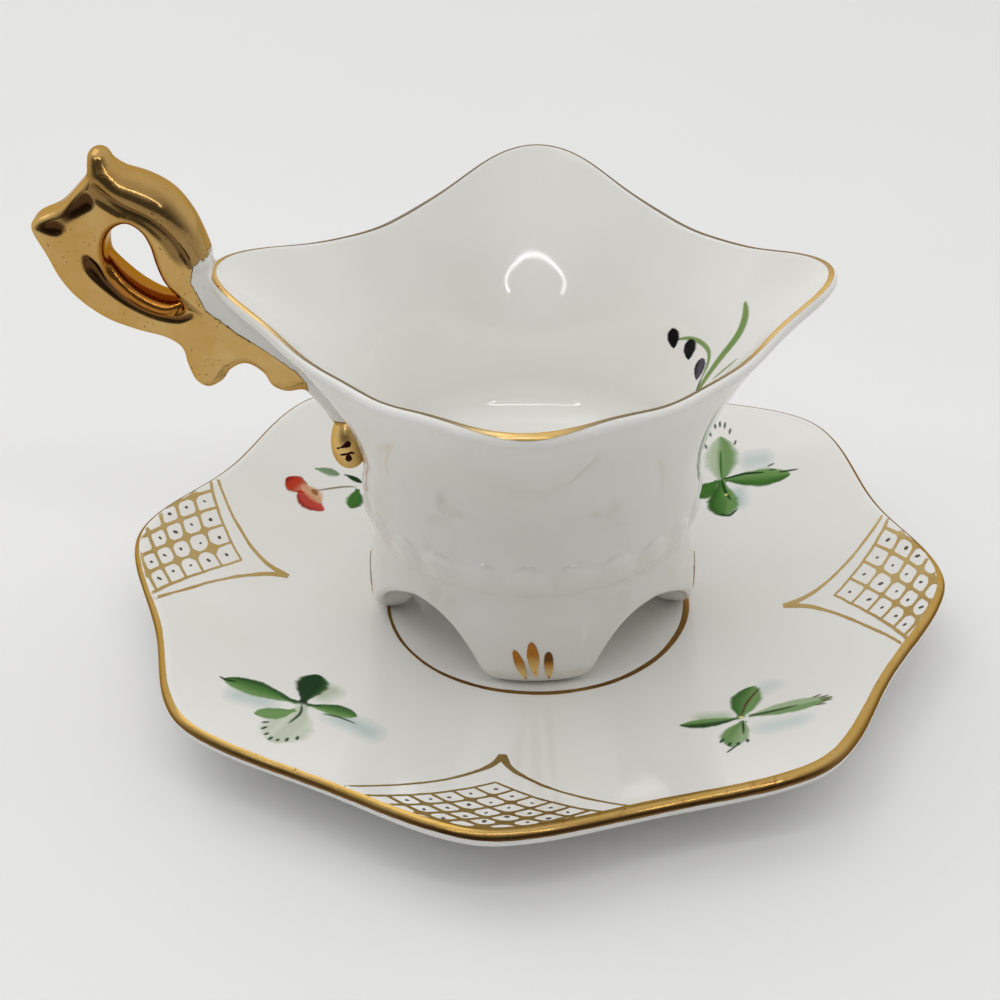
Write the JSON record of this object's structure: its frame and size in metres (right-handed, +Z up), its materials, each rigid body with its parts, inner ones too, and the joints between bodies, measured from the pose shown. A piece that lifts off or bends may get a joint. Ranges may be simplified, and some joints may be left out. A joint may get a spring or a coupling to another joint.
{
  "type": "footed teacup and saucer",
  "caption": "Small footed teacup with a flared wavy lip and a pierced gilt scroll handle, standing in the well of a wavy-rimmed saucer.",
  "frame": {"origin": "centre of the saucer's foot ring, on the table", "axes": "+Z up, -X from the cup's centre towards its handle"},
  "size_m": [0.1276, 0.1216, 0.0766],
  "materials": {
    "porcelain": "glossy white glaze",
    "gilded_porcelain": "worn bright gilding over glaze",
    "gilding": "thin worn gold"
  },
  "bodies": {
    "saucer": {"saucer_dish": "porcelain", "saucer_foot_ring": "porcelain", "saucer_rim_gilding": "gilding", "well_ring_gilding": "gilding"},
    "cup": {"cup_bowl": "porcelain", "foot_apron": "porcelain", "foot_front": "porcelain", "foot_right": "porcelain", "foot_back": "porcelain", "foot_left": "porcelain", "handle_root": "porcelain", "handle_scroll": "gilded_porcelain", "handle_knob": "gilded_porcelain", "lip_gilding": "gilding", "claw_gilding": "gilding"}
  },
  "joints": [
    {"name": "cup_lift", "type": "slide", "parent": "saucer", "child": "cup", "axis": [0, 0, 1], "range_m": [0, 0.1]}
  ]
}
